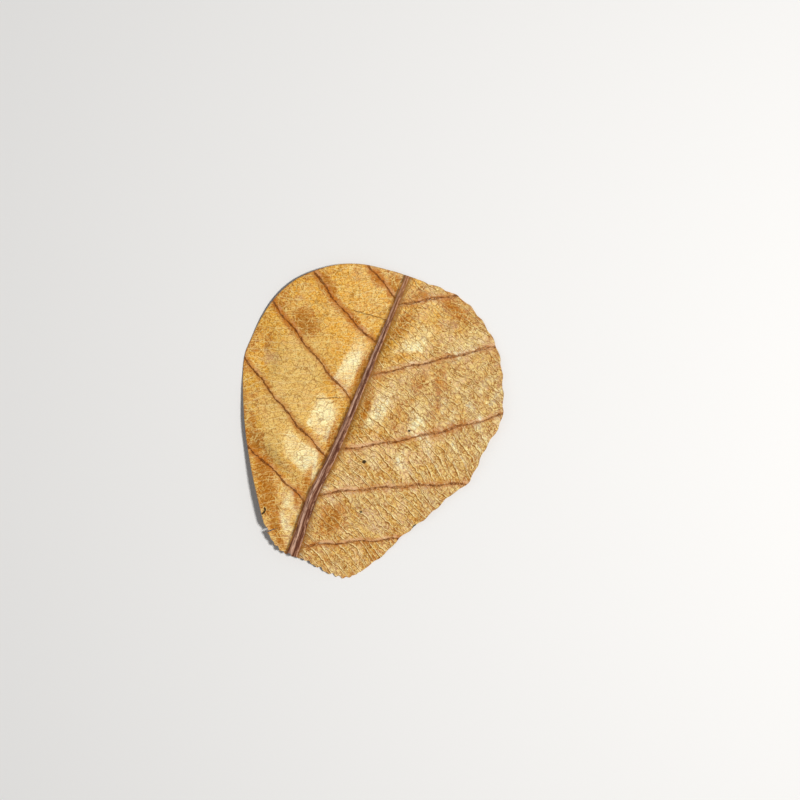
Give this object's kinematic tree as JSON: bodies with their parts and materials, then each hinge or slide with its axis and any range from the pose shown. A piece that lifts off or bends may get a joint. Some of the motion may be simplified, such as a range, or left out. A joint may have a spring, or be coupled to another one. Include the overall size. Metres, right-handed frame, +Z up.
{
  "type": "indian almond leaf",
  "caption": "Dried golden-brown oval leaf piece with a raised midrib, slanting side veins, a raised net and a torn base edge, gently domed and lying flat",
  "frame": {"origin": "on the surface that the leaf lies on, under the middle of its outline", "axes": "+Y along the midrib to the cut tip, +X to the leaf's wider half, +Z up out of the upper face"},
  "size_m": [0.0869, 0.1019, 0.0073],
  "materials": {
    "dried_leaf": "dry, leathery, satin upper face"
  },
  "bodies": {
    "root": {"leaf": "dried_leaf"}
  },
  "joints": []
}
